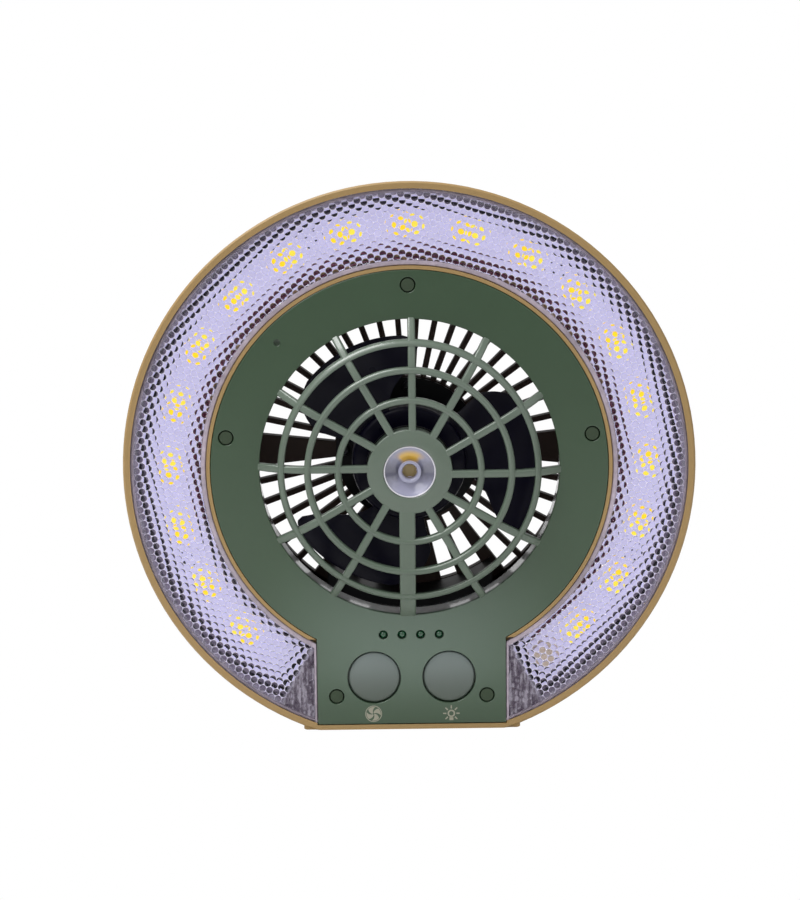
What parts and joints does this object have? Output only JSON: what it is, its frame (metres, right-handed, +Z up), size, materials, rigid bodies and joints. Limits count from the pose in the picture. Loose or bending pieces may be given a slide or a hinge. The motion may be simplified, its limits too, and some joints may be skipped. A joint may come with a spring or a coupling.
{
  "type": "portable camping fan",
  "caption": "Round tabletop camping fan on a flat base, with a clear ring lamp, centre spot lamp, green guard panel, push buttons and a fold-out wire stand.",
  "frame": {"origin": "middle of the flat base, under the fan axis and midway between the front rim and the rear face", "axes": "+Z up, front of the fan faces -Y, fan axis along Y, +X to the right seen from the front"},
  "size_m": [0.2098, 0.0647, 0.2035],
  "materials": {
    "tan_shell": "fine matt moulded",
    "green_panel": "satin moulded",
    "clear_lens": "clear moulded with a honeycomb of small cells",
    "white_board": "solder mask",
    "led_phosphor": "silicone over phosphor",
    "chip_parts": "moulded",
    "connector": "moulded",
    "wire_red": "smooth jacket",
    "wire_black": "smooth jacket",
    "black_plastic": "satin moulded",
    "grey_button": "smooth",
    "green_board": "solder mask",
    "zinc_steel": "zinc plated",
    "green_led": "clear tinted",
    "plug_rubber": "soft matt",
    "duct_gloss": "glossy",
    "brown_grille": "satin moulded",
    "motor_steel": "bright",
    "copper": "enamelled wire",
    "magnet": "sintered",
    "cell_wrap": "shrink film",
    "nickel": "bright",
    "stand_wire": "powder coated steel"
  },
  "bodies": {
    "housing": {"front_frame": "tan_shell", "rear_cover": "tan_shell", "front_panel": "green_panel", "lamp_lens": "clear_lens", "spot_lens": "clear_lens", "lamp_board": "white_board", "spot_board": "white_board", "lamp_leds": "led_phosphor", "spot_led": "led_phosphor", "lamp_resistors": "chip_parts", "board_parts": "chip_parts", "switch_bodies": "chip_parts", "lamp_connector": "connector", "lamp_wires": "wire_red", "motor_wires": "wire_red", "spot_wires": "wire_black", "spot_cap": "black_plastic", "motor_base": "black_plastic", "battery_tray": "black_plastic", "main_board": "green_board", "motor_board": "green_board", "port_board": "green_board", "board_screws": "zinc_steel", "panel_screws": "zinc_steel", "case_screws": "zinc_steel", "grille_screws": "zinc_steel", "motor_screws": "zinc_steel", "charge_leds": "green_led", "screw_plugs": "plug_rubber", "duct_ring": "duct_gloss", "rear_grille": "brown_grille", "stator_core": "motor_steel", "motor_bearings": "motor_steel", "stator_coils": "copper", "battery_cells": "cell_wrap", "battery_tabs": "nickel", "usb_c_socket": "nickel", "usb_a_socket": "nickel"},
    "fan_wheel": {"impeller": "black_plastic", "rotor_cup": "motor_steel", "rotor_magnet": "magnet", "motor_shaft": "motor_steel", "shaft_clip": "motor_steel"},
    "fan_key": {"fan_button": "grey_button", "fan_switch_stem": "chip_parts"},
    "light_key": {"light_button": "grey_button", "light_switch_stem": "chip_parts"},
    "stand": {"bail": "stand_wire", "bail_caps": "black_plastic"},
    "door": {"port_door": "tan_shell"}
  },
  "joints": [
    {"name": "fan_spin", "type": "hinge", "parent": "housing", "child": "fan_wheel", "pos_m": [0, 0, 0.0986], "axis": [0, -1, 0], "continuous": true},
    {"name": "fan_key_press", "type": "slide", "parent": "housing", "child": "fan_key", "axis": [0, 1, 0], "range_m": [0, 0.0005], "stiffness_N_per_m": 3000, "springref_m": -0.0003},
    {"name": "light_key_press", "type": "slide", "parent": "housing", "child": "light_key", "axis": [0, 1, 0], "range_m": [0, 0.0005], "stiffness_N_per_m": 3000, "springref_m": -0.0003},
    {"name": "stand_fold", "type": "hinge", "parent": "housing", "child": "stand", "pos_m": [0, 0.027, 0.1396], "axis": [1, 0, 0], "range_deg": [0, 180]},
    {"name": "door_open", "type": "hinge", "parent": "housing", "child": "door", "pos_m": [0.0787, 0.02565, 0.0676], "axis": [0, 0, -1], "range_deg": [0, 110]}
  ]
}
